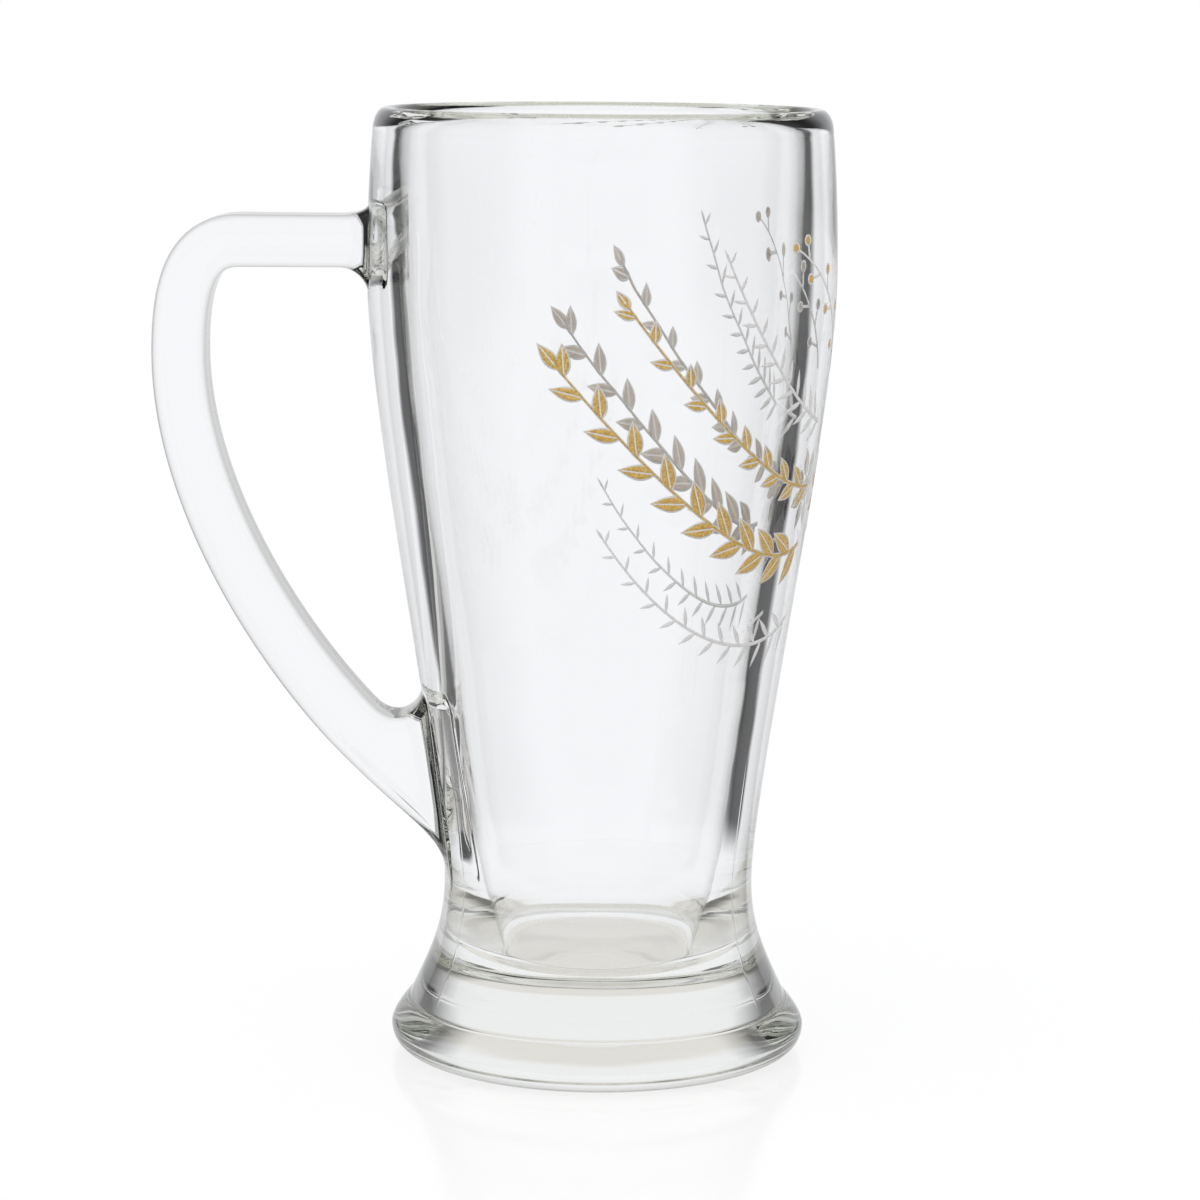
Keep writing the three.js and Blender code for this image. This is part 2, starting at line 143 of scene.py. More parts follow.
BERRY_RADIUS = 1.1
ROSETTE_HEIGHT = -9
ROSETTE_BOSS = 2.5
ROSETTE_PETALS = 8
ROSETTE_PETAL = {"length": 5.6, "width": 2.6}
PETAL_SEAT = 1.05  # share of the boss's radius at which a gold petal starts
LEAF_FULLNESS = 0.8
LEAF_BLUNTNESS = 0.02
DOT_BLUNTNESS = 0.03
STEM_TAPER = 0.5
GOLD_STEM_SHARE = 0.5  # width of a gold stem beside its white ground
OUTLINE_WIDTH = 0.34  # white edge round a gold leaf
MIDRIB_WIDTH = 0.3  # white line between a gold leaf's halves
MIDRIB_SHARE = 0.6  # most of a leaf's half width that the line takes at its ends
WHITE_LAYER = (0.006, 0.035)  # inner and outer face of the white enamel, over the wall
GOLD_LAYER = (0.02, 0.055)  # the gold lies on the white

# Fineness
COLUMNS = 240
EDGE_STEPS = 18
BEAD_STEPS = 18
CREASE_STEPS = 8
FLARE_STEPS = 32
BODY_STEPS = 110
LIP_STEPS = 26
BRIM_STEPS = 24
THICK_WALL_STEPS = 44
FLOOR_CORNER_STEPS = 14
KNUCKLE_STEPS = 34
GRIP_STEPS = 70
ARM_STEPS = 12
FILLET_STEPS = 26
CORNER_STEPS = 8
FLAT_STEPS = 4
UNDERSIDE_RINGS = (0.5, 0.9, 0.985)  # shares of its radius
FLOOR_RINGS = (0.97, 0.85, 0.5)
SMALLEST_STEP = 0.05  # degrees between two columns
LEAF_STEPS = 14
STEM_POINTS = 90
DOT_POINTS = 13
TWIG_POINTS = 6
HEADING_STEP = 0.01  # share of a stem over which its direction is taken

CREASE_HEIGHT = BEAD_RISE + CREASE_RISE
WAIST_HEIGHT = CREASE_HEIGHT + FLARE_RISE
BELLY_HEIGHT = WAIST_HEIGHT + BODY_RISE
LIP_HEIGHT = BELLY_HEIGHT + LIP_RISE
BRIM_HEIGHT = LIP_HEIGHT + BRIM_RISE
PRINT_MIDDLE = BELLY_HEIGHT - PRINT_DROP


def bend(start, start_hold, end_hold, end, steps):
    """Points of a cubic curve that leaves start along start_hold and reaches end along end_hold."""
    p0, p3 = np.array(start, float), np.array(end, float)
    p1, p2 = p0 + np.array(start_hold), p3 - np.array(end_hold)
    return bezier(p0, p1, p2, p3, np.linspace(0, 1, steps + 1))


def bezier(p0, p1, p2, p3, t):
    t = np.asarray(t)[:, None]
    return (1 - t) ** 3 * p0 + 3 * (1 - t) ** 2 * t * p1 + 3 * (1 - t) * t**2 * p2 + t**3 * p3


def parabola(start, control, end, steps):
    t = np.linspace(0, 1, steps + 1)[:, None]
    return (1 - t) ** 2 * start + 2 * (1 - t) * t * control + t**2 * end


def leaning(angle):
    return np.array([-math.sin(angle), math.cos(angle)])


def outer_outline():
    """The outside as (radius, height), from the underside's edge to the start of the brim."""
    base = (BASE_RADIUS, 0)
    bead = (BEAD_RADIUS, BEAD_RISE)
    crease = np.array([CREASE_RADIUS, CREASE_HEIGHT])
    waist = (WAIST_RADIUS, WAIST_HEIGHT)
    belly = (BELLY_RADIUS, BELLY_HEIGHT)
    lip = (LIP_RADIUS, LIP_HEIGHT)
    below, above = leaning(CREASE_LEAN), leaning(FLARE_LEAN)
    fillet = parabola(crease - below * CREASE_ROUND, crease, crease + above * CREASE_ROUND, CREASE_STEPS)
    ring = bend(bead, (0, BEAD_HOLD_ABOVE), below * CREASE_HOLD, crease, BEAD_STEPS)[1:]
    flare = bend(crease, above * FLARE_HOLD, (0, WAIST_HOLD_BELOW), waist, FLARE_STEPS)
    return np.vstack([
        bend(base, (BASE_HOLD, 0), (0, BEAD_HOLD_BELOW), bead, EDGE_STEPS),
        ring[ring[:, 1] < fillet[0, 1]],
        fillet,
        flare[flare[:, 1] > fillet[-1, 1]],
        bend(waist, (0, WAIST_HOLD_ABOVE), (0, BELLY_HOLD_BELOW), belly, BODY_STEPS)[1:],
        bend(belly, (0, BELLY_HOLD_ABOVE), leaning(LIP_LEAN) * LIP_HOLD, lip, LIP_STEPS)[1:],
    ])


OUTLINE = outer_outline()


def wall_radius(height):
    return np.interp(height, OUTLINE[:, 1], OUTLINE[:, 0])


def wall_thickness(height):
    """The wall is even over the body and thins to the brim's width above the belly."""
    share = np.clip((height - BELLY_HEIGHT) / LIP_RISE, 0, 1)
    return WALL + (BRIM_WIDTH - WALL) * share**2 * (3 - 2 * share)


def brim_outline():
    turn = np.linspace(0, math.pi, BRIM_STEPS + 1)[1:-1]
    half = BRIM_WIDTH / 2
    return np.column_stack([LIP_RADIUS - half + half * np.cos(turn), LIP_HEIGHT + BRIM_RISE * np.sin(turn)])


def hollow_outline():
    """The hollow from the brim down to the middle of its floor."""
    thick_height = WAIST_HEIGHT + THICK_WALL_RISE
    upper = OUTLINE[OUTLINE[:, 1] > thick_height][::-1]
    start = np.array([wall_radius(thick_height) - WALL, thick_height])
    slope = np.array([wall_radius(thick_height) - wall_radius(WAIST_HEIGHT), THICK_WALL_RISE])
    control = start - slope / np.linalg.norm(slope) * THICK_WALL_HOLD
    corner = np.array([FLOOR_RADIUS + FLOOR_CORNER, HOLLOW_FLOOR + FLOOR_CORNER])
    thick = parabola(start, control, corner, THICK_WALL_STEPS)
    turn = np.linspace(0, math.pi / 2, FLOOR_CORNER_STEPS + 1)[1:]
    rounding = np.column_stack([
        FLOOR_RADIUS + FLOOR_CORNER * np.cos(turn),
        HOLLOW_FLOOR + FLOOR_CORNER * (1 - np.sin(turn)),
    ])
    floor = [(FLOOR_RADIUS * share, HOLLOW_FLOOR) for share in FLOOR_RINGS]
    thin = upper - np.column_stack([wall_thickness(upper[:, 1]), np.zeros(len(upper))])
    return np.vstack([thin, thick, rounding, floor])


def seam_ridge(angle, height):
    """Height of the mould's seams over the wall, for an angle in degrees."""
    ridge = 0.0
    for seam in SEAM_ANGLES:
        off = abs((angle - seam + 180) % 360 - 180)
        ridge = max(ridge, 1 - off / SEAM_HALF_WIDTH)
    fade = np.interp(height, [SEAM_START, SEAM_FROM, SEAM_FADE_FROM, SEAM_TO], [0, 1, 1, 0])
    return SEAM_HEIGHT * ridge * fade


def new_object(name, points, faces):
    """A mesh object from points in millimetres, with its normals turned outwards."""
    mesh = bpy.data.meshes.new(name)
    mesh.from_pydata([tuple(p) for p in np.asarray(points) * MM], [], faces)
    work = bmesh.new()
    work.from_mesh(mesh)
    bmesh.ops.recalc_face_normals(work, faces=work.faces)
    work.to_mesh(mesh)
    work.free()
    mesh.polygons.foreach_set("use_smooth", [True] * len(mesh.polygons))
    obj = bpy.data.objects.new(name, mesh)
    bpy.context.scene.collection.objects.link(obj)
    return obj


def turned_vessel(name):
    """The vessel turned about the axis, from the middle of the underside round to that of the hollow."""
    underside = [(BASE_RADIUS * share, 0) for share in UNDERSIDE_RINGS]
    profile = np.vstack([underside, OUTLINE, brim_outline(), hollow_outline()])
    outside = len(underside) + len(OUTLINE)
    seam_offsets = (-SEAM_HALF_WIDTH, -SEAM_HALF_WIDTH / 2, 0, SEAM_HALF_WIDTH / 2, SEAM_HALF_WIDTH)
    angles = set(np.arange(COLUMNS) * 360 / COLUMNS)
    angles |= {(seam + off) % 360 for seam in SEAM_ANGLES for off in seam_offsets}
    angles = sorted(angles)
    angles = [a for a, b in zip(angles, angles[1:] + [angles[0] + 360]) if b - a > SMALLEST_STEP]
    points, faces = [], []
    for row, (radius, height) in enumerate(profile):
        for angle in angles:
            r = radius + (seam_ridge(angle, height) if row < outside else 0)
            points.append((r * math.cos(math.radians(angle)), r * math.sin(math.radians(angle)), height))
    count = len(angles)
    for row in range(len(profile) - 1):
        for i in range(count):
            a, b = row * count + i, row * count + (i + 1) % count
            faces.append((a, b, b + count, a + count))
    bottom, top = len(points), len(points) + 1
    points += [(0, 0, 0), (0, 0, HOLLOW_FLOOR)]
    last = (len(profile) - 1) * count
    for i in range(count):
        faces.append((bottom, (i + 1) % count, i))
        faces.append((top, last + i, last + (i + 1) % count))
    return new_object(name, points, faces)


def handle_line():
    """Middle line of the handle between its two roots, as (distance from the axis, height)."""
    arm_height = BRIM_HEIGHT - ARM_DROP
    grip_distance = BELLY_RADIUS + GRIP_REACH
    arm_run = max(ARM_FILLET_ABOVE, ARM_FILLET_BELOW)
    arm = (wall_radius(arm_height) + arm_run, arm_height)
    knuckle = (grip_distance - KNUCKLE_RUN, arm_height)
    grip = (grip_distance, arm_height - KNUCKLE_FALL)
    root_height = WAIST_HEIGHT + ROOT_RISE
    root = (wall_radius(root_height) + ROOT_STANDOFF, root_height)
    dip = (-ROOT_HOLD * math.cos(ROOT_DIP), -ROOT_HOLD * math.sin(ROOT_DIP))
    return np.vstack([
        np.linspace(arm, knuckle, ARM_STEPS),
        bend(knuckle, (KNUCKLE_RUN_HOLD, 0), (0, -KNUCKLE_FALL_HOLD), grip, KNUCKLE_STEPS)[1:],
        bend(grip, (0, -GRIP_HOLD), dip, root, GRIP_STEPS)[1:],
    ])


def root_edge(start, arm_hold, height, wall_hold):
    """One edge of a root: it leaves the arm along arm_hold and runs out along the wall at a height."""
    end = (wall_radius(height) - FILLET_SINK, height)
    slope = np.array([wall_radius(height + WALL) - wall_radius(height - WALL), 2 * WALL])
    return bend(start, arm_hold, slope / np.linalg.norm(slope) * wall_hold, end, FILLET_STEPS)[1:]


def rounded_rectangle(half_thickness, half_width, corner):
    """Points (along, level) round a rectangle with round corners."""
    points = []
    for along_sign, side_sign, quarter in ((1, 1, 0), (-1, 1, 1), (-1, -1, 2), (1, -1, 3)):
        for turn in (quarter + np.linspace(0, 1, CORNER_STEPS + 1)) * math.pi / 2:
            points.append((
                along_sign * (half_thickness - corner) + corner * math.cos(turn),
                side_sign * (half_width - corner) + corner * math.sin(turn),
            ))
        following = {
            0: (-(half_thickness - corner), half_width),
            1: (-half_thickness, -(half_width - corner)),
            2: (half_thickness - corner, -half_width),
            3: (half_thickness, half_width - corner),
        }[quarter]
        here = np.array(points[-1])
        for share in np.linspace(0, 1, FLAT_STEPS + 1)[1:-1]:
            points.append(tuple(here + (np.array(following) - here) * share))
    return points


def handle_section(outer, inner, side, wrap):
    """A ring of the handle between its outer and inner edge, bent round the wall by wrap from 0 to 1."""
    middle = (outer + inner) / 2
    half_thickness = np.linalg.norm(outer - inner) / 2
    across = (outer - inner) / (2 * half_thickness)
    half_width = HANDLE_WIDTH / 2 + side
    corner = min(HANDLE_CORNER, half_width, half_thickness)
    ring = []
    for along, level in rounded_rectangle(half_thickness, half_width, corner):
        distance, height = middle + across * along
        radius = wall_radius(height)
        distance -= wrap * (radius - math.sqrt(radius**2 - level**2))
        ring.append((-distance, level, height))
    return ring


def root_sections(outer_edge, inner_edge, side):
    """The rings of a root from its two edges, with a last one inside the wall."""
    rings = []
    for k, (outer, inner) in enumerate(zip(outer_edge, inner_edge)):
        share = (k + 1) / FILLET_STEPS
        rings.append(handle_section(outer, inner, side * (1 - math.sqrt(1 - share**2)), share))
    sunk = np.array([-WALL / 2, 0])
    rings.append(handle_section(outer_edge[-1] + sunk, inner_edge[-1] + sunk, side, 1))
    return rings


def lofted_handle(name):
    line = handle_line()
    forward = np.gradient(line, axis=0)
    forward /= np.linalg.norm(forward, axis=1)[:, None]
    square = np.column_stack([-forward[:, 1], forward[:, 0]])
    half = np.linspace(ARM_THICKNESS, ROOT_THICKNESS, len(line))[:, None] / 2
    outer, inner = line + square * half, line - square * half
    above, below = ARM_FILLET_HOLD * ARM_FILLET_ABOVE, ARM_FILLET_HOLD * ARM_FILLET_BELOW
    arm = root_sections(
        root_edge(outer[0], (-below, 0), outer[0][1] + ARM_FILLET_ABOVE, above),
        root_edge(inner[0], (-below, 0), inner[0][1] - ARM_FILLET_BELOW, -below),
        ARM_FILLET_SIDE,
    )
    dip = forward[-1]
    root_height = line[-1][1]
    root = root_sections(
        root_edge(outer[-1], dip * ROOT_FILLET_BELOW_HOLD,
                  root_height - ROOT_FILLET_BELOW, -ROOT_FILLET_BELOW_WALL_HOLD),
        root_edge(inner[-1], dip * ROOT_FILLET_ABOVE_HOLD,
                  root_height + ROOT_FILLET_ABOVE, ROOT_FILLET_ABOVE_WALL_HOLD),
        ROOT_FILLET_SIDE,
    )
    sweep = [handle_section(o, i, 0, 0) for o, i in zip(outer, inner)]
    rings = arm[::-1] + sweep + root
    count = len(rings[0])
    faces = []
    for row in range(len(rings) - 1):
        for i in range(count):
            a, b = row * count + i, row * count + (i + 1) % count
            faces.append((a, b, b + count, a + count))
    last = (len(rings) - 1) * count
    faces.append(tuple(range(count))[::-1])
    faces.append(tuple(range(last, last + count)))
    return new_object(name, np.vstack(rings), faces)


def joined(body, addition):
    """Joins a second solid to a first one, as one skin with nothing left inside."""
    union = body.modifiers.new("join", "BOOLEAN")
    union.operation = "UNION"
    union.solver = "EXACT"
    union.object = addition
    graph = bpy.context.evaluated_depsgraph_get()
    mesh = bpy.data.meshes.new_from_object(body.evaluated_get(graph))
    body.modifiers.clear()
    body.data = mesh
    mesh.polygons.foreach_set("use_smooth", [True] * len(mesh.polygons))
    bpy.data.objects.remove(addition)
    return body


def new_material(name):
    material = bpy.data.materials.new(name)
    material.use_nodes = True
    tree = material.node_tree
    return material, tree, tree.nodes["Principled BSDF"], tree.nodes["Material Output"]


def math_node(tree, operation, *values):
    """A socket with the result of a sum on sockets and numbers."""
    made = tree.nodes.new("ShaderNodeMath")
    made.operation = operation
    for socket, value in zip(made.inputs, values):
        if isinstance(value, (int, float)):
            socket.default_value = value
        else:
            tree.links.new(value, socket)
    return made.outputs[0]


def ranged(tree, value, start, end, low, high):
    """A socket that goes smoothly from low to high as a value goes from start to end."""
    made = tree.nodes.new("ShaderNodeMapRange")
    made.interpolation_type = "SMOOTHSTEP"
    for name, number in (("From Min", start), ("From Max", end), ("To Min", low), ("To Max", high)):
        made.inputs[name].default_value = number
    tree.links.new(value, made.inputs["Value"])
    return made.outputs["Result"]


def mixed_colour(tree, share, first, second):
    """A socket with a share of the second of two colours and the rest of the first."""
    made = tree.nodes.new("ShaderNodeMixRGB")
    tree.links.new(share, made.inputs["Fac"])
    for name, colour in (("Color1", first), ("Color2", second)):
        if isinstance(colour, tuple):
            made.inputs[name].default_value = colour
        else:
            tree.links.new(colour, made.inputs[name])
    return made.outputs["Color"]


def tone_ramp(tree, value, tones):
    """A socket with a grey that follows a value through (position, brightness) pairs."""
    ramp = tree.nodes.new("ShaderNodeValToRGB")
    stops = ramp.color_ramp.elements
    for k, (position, tone) in enumerate(tones):
        stop = stops[k] if k < 2 else stops.new(position)
        stop.position = position
        stop.color = (tone, tone, tone, 1)
    tree.links.new(value, ramp.inputs["Fac"])
    return ramp.outputs["Color"]


WHITE = (1, 1, 1, 1)
# Painted shade on the glass: its colour is darkened where a surface turns edge on to the view, standing in
# for the dark lines that dark surroundings give glass edges. The reach stored on the mesh and the numbers
# below set how far this painted shade spreads on each part and how dark it gets.
PAINTED_EDGE_SHADE_REACH = "painted_edge_shade_reach"  # how square to the view a surface still counts as an edge, stored on the mesh
HANDLE_EDGE = 0.9
WALL_EDGE = 0.42
BRIM_EDGE = 0.12
PAINTED_EDGE_SHADE = (0.115, 0.115, 0.08, 1)
FOOT_EDGE = 0.85
FOOT_CORE = 24  # the foot's outside lies further from the axis, the hollow nearer
FOOT_FADE = (20, 26)  # heights between which the foot's edges give way to the wall's
IOR = 1.52
ABSORPTION = (0.775, 0.80, 0.71, 1)
ABSORPTION_DENSITY = 4.0
WAVE_HEIGHT = 0.00012
WAVE_SCALE = 55
SHADOW_TINT = (0.96, 0.97, 0.96, 1)  # light that the mug lets through to its shadow
FACING_BLEND = 0.5  # at this blend, Facing is 0 for a surface seen squarely and 1 edge on


def glass_material():
    """Clear soda-lime glass with a faint green in the thick places, a slightly wavy pressed skin, and a
    painted shade that darkens it towards its edges.
    """
    material, tree, shader, output = new_material("clear_glass")
    shader.inputs["Roughness"].default_value = 0.0
    shader.inputs["IOR"].default_value = IOR
    # Painted shade: the base colour goes from white to the dark edge colour as the surface turns edge on,
    # within the reach stored on the mesh.
    reach = tree.nodes.new("ShaderNodeAttribute")
    reach.attribute_name = PAINTED_EDGE_SHADE_REACH
    view = tree.nodes.new("ShaderNodeLayerWeight")
    view.inputs["Blend"].default_value = FACING_BLEND
    slant = math_node(tree, "SUBTRACT", 1.0, view.outputs["Facing"])
    level = math_node(tree, "DIVIDE", slant, reach.outputs["Fac"])
    painted_shade = mixed_colour(tree, ranged(tree, level, 0, 1, 0, 1), PAINTED_EDGE_SHADE, WHITE)
    tree.links.new(painted_shade, shader.inputs["Base Color"])
    place = tree.nodes.new("ShaderNodeTexCoord")
    waves = tree.nodes.new("ShaderNodeTexNoise")
    waves.inputs["Scale"].default_value = WAVE_SCALE
    waves.inputs["Detail"].default_value = 1
    skin = tree.nodes.new("ShaderNodeBump")
    skin.inputs["Strength"].default_value = 1
    skin.inputs["Distance"].default_value = WAVE_HEIGHT
    tree.links.new(place.outputs["Object"], waves.inputs["Vector"])
    tree.links.new(waves.outputs["Fac"], skin.inputs["Height"])
    tree.links.new(skin.outputs["Normal"], shader.inputs["Normal"])
    shader.inputs["Transmission Weight"].default_value = 1.0
    inside = tree.nodes.new("ShaderNodeVolumeAbsorption")
    inside.inputs["Color"].default_value = ABSORPTION
    inside.inputs["Density"].default_value = ABSORPTION_DENSITY
    tree.links.new(inside.outputs["Volume"], output.inputs["Volume"])
    path = tree.nodes.new("ShaderNodeLightPath")
    clear = tree.nodes.new("ShaderNodeBsdfTransparent")
    clear.inputs["Color"].default_value = SHADOW_TINT
    mix = tree.nodes.new("ShaderNodeMixShader")
    tree.links.new(path.outputs["Is Shadow Ray"], mix.inputs["Fac"])
    tree.links.new(shader.outputs["BSDF"], mix.inputs[1])
    tree.links.new(clear.outputs["BSDF"], mix.inputs[2])
    tree.links.new(mix.outputs["Shader"], output.inputs["Surface"])
    return material


GRAIN_SCALE = 2600
GRAIN_SPAN = (0.35, 0.65)  # noise levels at which the two colours are reached
# Darker and paler colour of the grain, metallic, roughness, and the share of light that passes through
GOLD_ENAMEL = ((0.66, 0.42, 0.09), (0.93, 0.68, 0.24), 0.2, 0.38, 0.38)
WHITE_ENAMEL = ((0.90, 0.895, 0.88), (0.97, 0.965, 0.955), 0.0, 0.45, 0.55)


def enamel_material(name, colour, pale, metallic, roughness, lit_through):
    """Fired enamel with a fine grain in two close colours, thin enough to let some light through."""
    material, tree, shader, output = new_material(name)
    place = tree.nodes.new("ShaderNodeTexCoord")
    grain = tree.nodes.new("ShaderNodeTexNoise")
    grain.inputs["Scale"].default_value = GRAIN_SCALE
    grain.inputs["Detail"].default_value = 3
    ramp = tree.nodes.new("ShaderNodeValToRGB")
    for stop, position, tone in zip(ramp.color_ramp.elements, GRAIN_SPAN, (colour, pale)):
        stop.position = position
        stop.color = (*tone, 1)
    tree.links.new(place.outputs["Object"], grain.inputs["Vector"])
    tree.links.new(grain.outputs["Fac"], ramp.inputs["Fac"])
    tree.links.new(ramp.outputs["Color"], shader.inputs["Base Color"])
    shader.inputs["Metallic"].default_value = metallic
    shader.inputs["Roughness"].default_value = roughness
    glow = tree.nodes.new("ShaderNodeBsdfTranslucent")
    tree.links.new(ramp.outputs["Color"], glow.inputs["Color"])
    mix = tree.nodes.new("ShaderNodeMixShader")
    mix.inputs["Fac"].default_value = lit_through
    tree.links.new(shader.outputs["BSDF"], mix.inputs[1])
    tree.links.new(glow.outputs["BSDF"], mix.inputs[2])
    tree.links.new(mix.outputs["Shader"], output.inputs["Surface"])
    return material


def on_wall(point, side, lift):
    """A flat print point wrapped on the wall, with side 1 for the front half and -1 for the back half."""
    along, rise = point
    angle = side * along / wall_radius(PRINT_MIDDLE)
    height = PRINT_MIDDLE + rise
    radius = wall_radius(height) + lift
    return (radius * math.cos(angle), -radius * math.sin(angle), height)


class Enamel:
    """Patches of enamel on the wall, gathered into one mesh."""

    def __init__(self, side, layer):
        self.side, self.layer = side, layer
        self.points, self.faces = [], []

    def patch(self, rows):
        """A closed thin plate over rows of flat points, each row running across the patch."""
        first, width, length = len(self.points), len(rows[0]), len(rows)
        for lift in self.layer:
            self.points += [on_wall(p, self.side, lift) for row in rows for p in row]

        def low(r, c):
            return first + r * width + c

        def high(r, c):
            return low(r, c) + width * length

        for r in range(length - 1):
            for c in range(width - 1):
                self.faces.append((low(r, c), low(r, c + 1), low(r + 1, c + 1), low(r + 1, c)))
                self.faces.append((high(r, c), high(r + 1, c), high(r + 1, c + 1), high(r, c + 1)))
            for c in (0, width - 1):
                self.faces.append((low(r, c), low(r + 1, c), high(r + 1, c), high(r, c)))
        for r in (0, length - 1):
            for c in range(width - 1):
                self.faces.append((low(r, c), high(r, c), high(r, c + 1), low(r, c + 1)))

    def strip(self, middle, half_width, parts=2):
        """A patch along a line of points, with a half width at each."""
        middle = np.asarray(middle, float)
        forward = np.gradient(middle, axis=0)
        forward /= np.linalg.norm(forward, axis=1)[:, None]
        across = np.column_stack([-forward[:, 1], forward[:, 0]])
        shares = np.linspace(-1, 1, parts + 1)
        self.patch([[m + a * h * s for s in shares] for m, a, h in zip(middle, across, half_width)])

    def object(self, name):
        return new_object(name, self.points, self.faces)


def leaf_shape(start, direction, length, width):
    """Middle line, half widths and level direction of a leaf."""
    t = np.linspace(0, 1, LEAF_STEPS + 1)
    middle = np.array(start) + np.outer(t * length, direction)
    half = width / 2 * np.maximum(np.sin(math.pi * t**LEAF_FULLNESS), LEAF_BLUNTNESS)
    return middle, half, np.array([-direction[1], direction[0]])


def add_leaf(gold, white, start, direction, length, width):
    """A gold leaf in two halves on a white ground that shows as its edge and midrib."""
    middle, half, across = leaf_shape(start, direction, length, width)
    grown = 2 * OUTLINE_WIDTH
    foot = np.array(start) - direction * OUTLINE_WIDTH
    ground, ground_half, _ = leaf_shape(foot, direction, length + grown, width + grown)
    white.strip(ground, ground_half, 4)
    inner = np.minimum(MIDRIB_WIDTH / 2, half * MIDRIB_SHARE)
    for hand in (1, -1):
        rows = [
            [m + across * hand * (i + (h - i) * share) for share in (0, 0.5, 1)]
            for m, h, i in zip(middle, half, inner)
        ]
        gold.patch(rows)


def curve_of(stem, t):
    p0, p1, p2, p3 = (np.array(p, float) for p in stem)
    return bezier(p0, p1, p2, p3, t)


def heading(stem, t):
    """Direction of a stem at a share of its length."""
    a, b = curve_of(stem, [max(t - HEADING_STEP, 0), min(t + HEADING_STEP, 1)])
    return (b - a) / np.linalg.norm(b - a)


def turned_by(direction, degrees):
    c, s = math.cos(math.radians(degrees)), math.sin(math.radians(degrees))
    return np.array([c * direction[0] - s * direction[1], s * direction[0] + c * direction[1]])


def add_stem(enamel, stem, width):
    t = np.linspace(0, 1, STEM_POINTS)
    enamel.strip(curve_of(stem, t), width / 2 * (1 - STEM_TAPER * t))


def leaves_of(stem, count, form):
    """Start, direction, length and width of each leaf along a stem, with one at its tip."""
    for k in range(count):
        t = (k + 0.5) / count
        size = 1 - form["shrink"] * t
        turn = form["angle"] if k % 2 else -form["angle"]
        start = curve_of(stem, [t])[0]
        yield start, turned_by(heading(stem, t), turn), form["length"] * size, form["width"] * size
    size = 1 - form["shrink"]
    tip = curve_of(stem, [1])[0]
    yield tip - heading(stem, 1), heading(stem, 1), form["length"] * size, form["width"] * size


def leafy_branch(name, stem, count, form, side):
    """A gold branch with its white ground, as two pieces."""
    gold, white = Enamel(side, GOLD_LAYER), Enamel(side, WHITE_LAYER)
    add_stem(gold, stem, BRANCH_STEM_WIDTH * GOLD_STEM_SHARE)
    add_stem(white, stem, BRANCH_STEM_WIDTH)
    for start, direction, length, width in leaves_of(stem, count, form):
        add_leaf(gold, white, start, direction, length, width)
    return gold.object(name), white.object(name + "_ground")


def fern(name, stem, side):
    white = Enamel(side, WHITE_LAYER)
    add_stem(white, stem, FERN_STEM_WIDTH)
    for start, direction, length, width in leaves_of(stem, FERN_LEAVES, FERN_LEAF):
        middle, half, _ = leaf_shape(start, direction, length, width)
        white.strip(middle, half)
    return white.object(name)


def add_dot(enamel, centre, radius):
    t = np.linspace(0, 1, DOT_POINTS)
    line = np.array(centre) + np.column_stack([-np.cos(t * math.pi) * radius, np.zeros_like(t)])
    enamel.strip(line, np.maximum(np.sin(t * math.pi), DOT_BLUNTNESS) * radius, 6)


def berry_sprig(name, side):
    gold, white = Enamel(side, GOLD_LAYER), Enamel(side, WHITE_LAYER)
    add_stem(white, BERRY_STEM, BERRY_STEM_WIDTH)
    ends = [curve_of(BERRY_STEM, [1])[0]]
    for k in range(BERRY_TWIGS):
        t = (k + 1) / (BERRY_TWIGS + 1)
        start = curve_of(BERRY_STEM, [t])[0]
        hand = 1 if k % 2 else -1
        direction = turned_by(heading(BERRY_STEM, t), hand * BERRY_TWIG["angle"])
        end = start + direction * BERRY_TWIG["length"] * (1 - BERRY_TWIG["shrink"] * t)
        line = np.linspace(start, end, TWIG_POINTS)
        white.strip(line, np.full(TWIG_POINTS, BERRY_TWIG["width"] / 2))
        ends.append(end)
    for end in ends:
        add_dot(white, end, BERRY_RADIUS)
        add_dot(gold, end, BERRY_RADIUS - OUTLINE_WIDTH)
    return gold.object(name), white.object(name + "_ground")


def rosette(name):
    gold, white = Enamel(1, GOLD_LAYER), Enamel(1, WHITE_LAYER)
    centre = np.array([0, ROSETTE_HEIGHT])
    add_dot(white, centre, ROSETTE_BOSS)
    add_dot(gold, centre, ROSETTE_BOSS - OUTLINE_WIDTH)
    for k in range(ROSETTE_PETALS):
        direction = turned_by(np.array([0.0, 1.0]), (k + 0.5) * 360 / ROSETTE_PETALS)
        start = centre + direction * ROSETTE_BOSS * PETAL_SEAT
        add_leaf(gold, white, start, direction, ROSETTE_PETAL["length"], ROSETTE_PETAL["width"])
    return gold.object(name), white.object(name + "_ground")


def dress(piece, material, slot, *nodes):
    piece.data.materials.clear()
    piece.data.materials.append(material)
    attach(piece, "root")
    if nodes:
        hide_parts(*nodes)


def mark_painted_edge_shade(piece, reach_at):
    """Stores at each corner of a mesh how far the glass's painted edge shade reaches, from a function of
    its place in millimetres.
    """
    marks = piece.data.attributes.new(PAINTED_EDGE_SHADE_REACH, "FLOAT", "POINT")
    marks.data.foreach_set("value", [reach_at(corner.co / MM) for corner in piece.data.vertices])


def vessel_painted_edge_shade(place):
    """How far the painted edge shade reaches on the brim, the wall and the hollow, and the thick foot's
    outside.
    """
    if place.z > LIP_HEIGHT:
        return BRIM_EDGE
    if place.xy.length < FOOT_CORE:
        return WALL_EDGE
    return float(np.interp(place.z, FOOT_FADE, (FOOT_EDGE, WALL_EDGE)))


